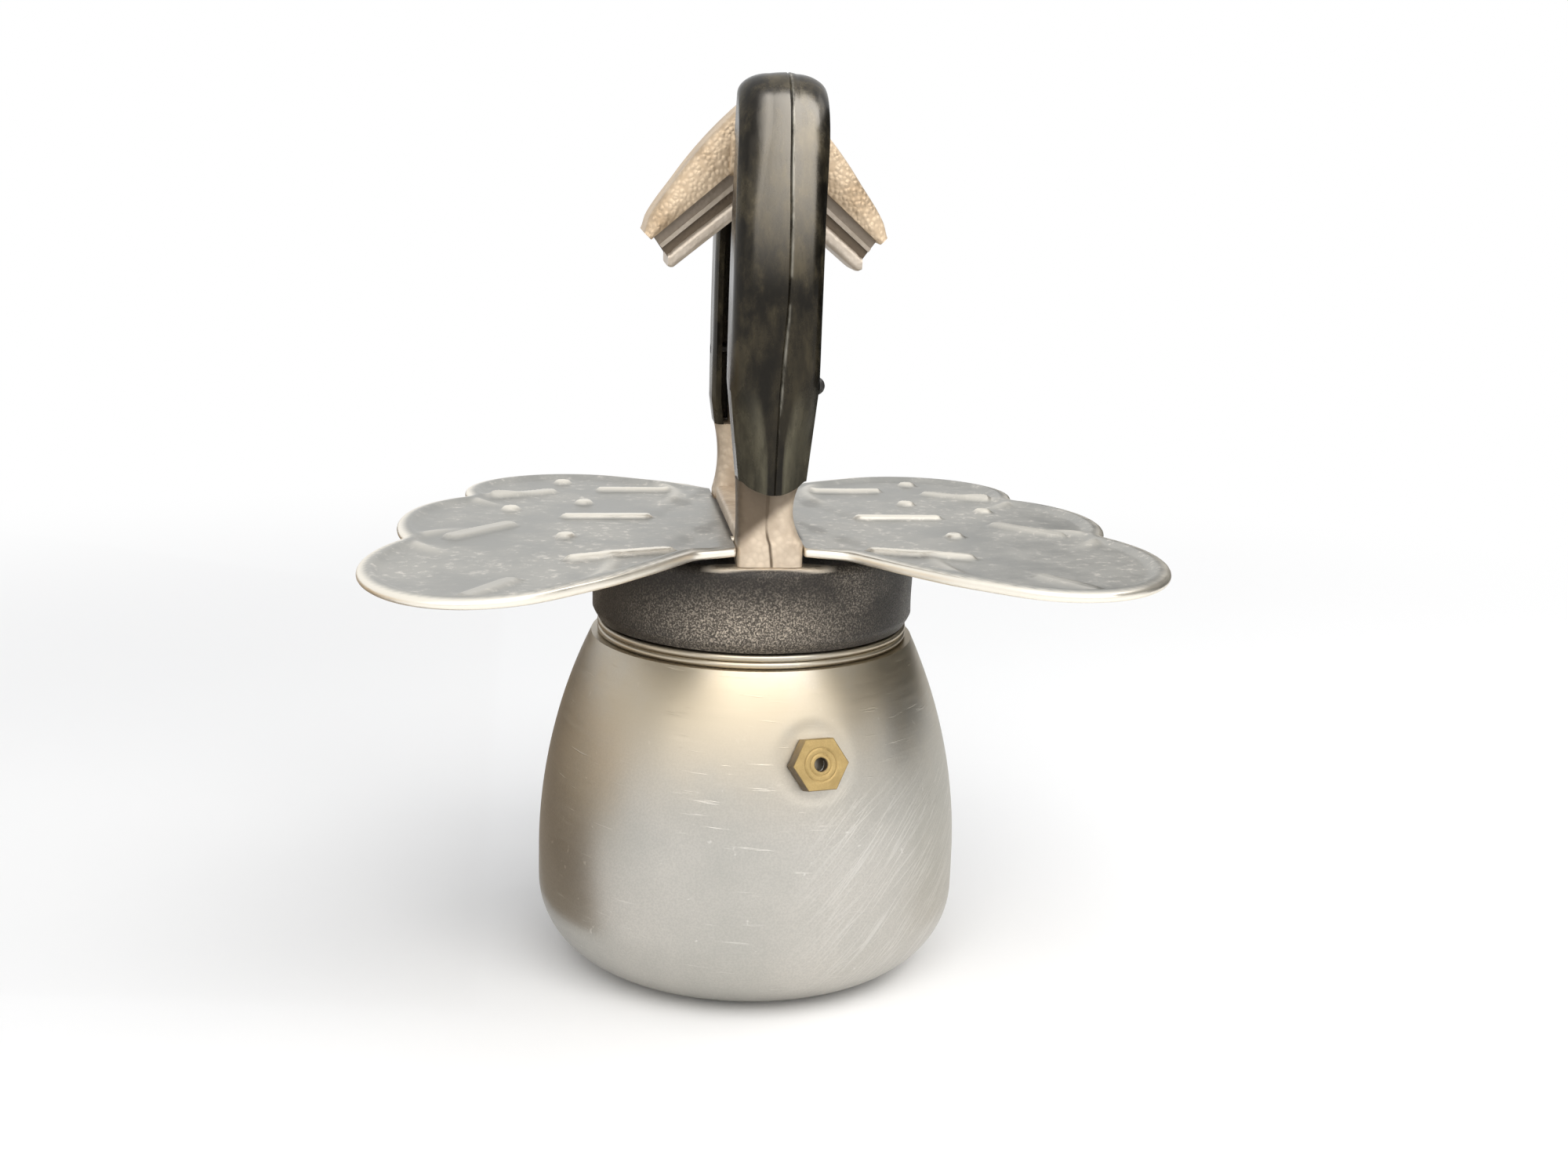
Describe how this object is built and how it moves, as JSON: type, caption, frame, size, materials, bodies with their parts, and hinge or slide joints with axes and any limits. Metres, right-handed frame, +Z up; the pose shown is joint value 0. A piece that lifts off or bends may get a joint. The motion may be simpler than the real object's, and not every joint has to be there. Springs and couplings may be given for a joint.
{
  "type": "moka pot",
  "caption": "Stovetop coffee maker: bell boiler with safety valve, screw-on collar, loop handle with spouts that pour into cups on a butterfly-shaped tray.",
  "frame": {"origin": "centre of the boiler's flat base, on the surface it stands on", "axes": "+Z up along the boiler's axis, the spouts point to -X and +X, the valve and front leg face -Y"},
  "size_m": [0.145, 0.1145, 0.1765],
  "materials": {
    "boiler_aluminium": "satin, turned, lightly scratched and stained",
    "frame_aluminium": "bare casting, worn smooth",
    "tray_aluminium": "stamped sheet, dull with bright worn edges",
    "spout_casting": "pebbled casting, coffee stained",
    "collar_coating": "black grainy coating",
    "grip_plastic": "moulded black, rubbed shiny",
    "brass": "turned brass",
    "copper": "soft copper ring",
    "steel": "plain steel",
    "inner_aluminium": "pressed sheet",
    "seal_rubber": "pale silicone rubber"
  },
  "bodies": {
    "boiler": {"boiler": "boiler_aluminium", "valve_body": "brass", "valve_washer": "copper", "valve_seat": "brass", "valve_spring": "steel", "funnel": "inner_aluminium", "funnel_strainer": "inner_aluminium"},
    "seal": {"gasket": "seal_rubber", "filter_plate": "inner_aluminium"},
    "top": {"collar": "collar_coating", "frame_screws": "steel", "port_seals": "seal_rubber", "arch_frame": "frame_aluminium", "tray_left_wing": "tray_aluminium", "tray_right_wing": "tray_aluminium", "tray_rivets": "frame_aluminium", "spout_hood": "spout_casting", "spout_trough": "spout_casting", "spout_pin": "steel", "spout_screws": "steel", "grip_left": "grip_plastic", "grip_right": "grip_plastic", "grip_rivets": "grip_plastic"},
    "poppet": {"valve_poppet": "brass"}
  },
  "joints": [
    {"name": "top_lift", "type": "slide", "parent": "boiler", "child": "seal", "axis": [0, 0, 1], "range_m": [0, 0.009]},
    {"name": "top_unscrew", "type": "hinge", "parent": "seal", "child": "top", "pos_m": [0, 0, 0.079], "axis": [0, 0, 1], "range_deg": [0, 1080]},
    {"name": "valve_relief", "type": "slide", "parent": "boiler", "child": "poppet", "axis": [0.2162, -0.9366, 0.2756], "range_m": [0, 0.0012], "stiffness_N_per_m": 2000, "deforming": ["valve_spring"]}
  ],
  "couplings": [
    {"joint": "top_lift", "follows": "top_unscrew", "m_per_rad": 0.00047746}
  ]
}
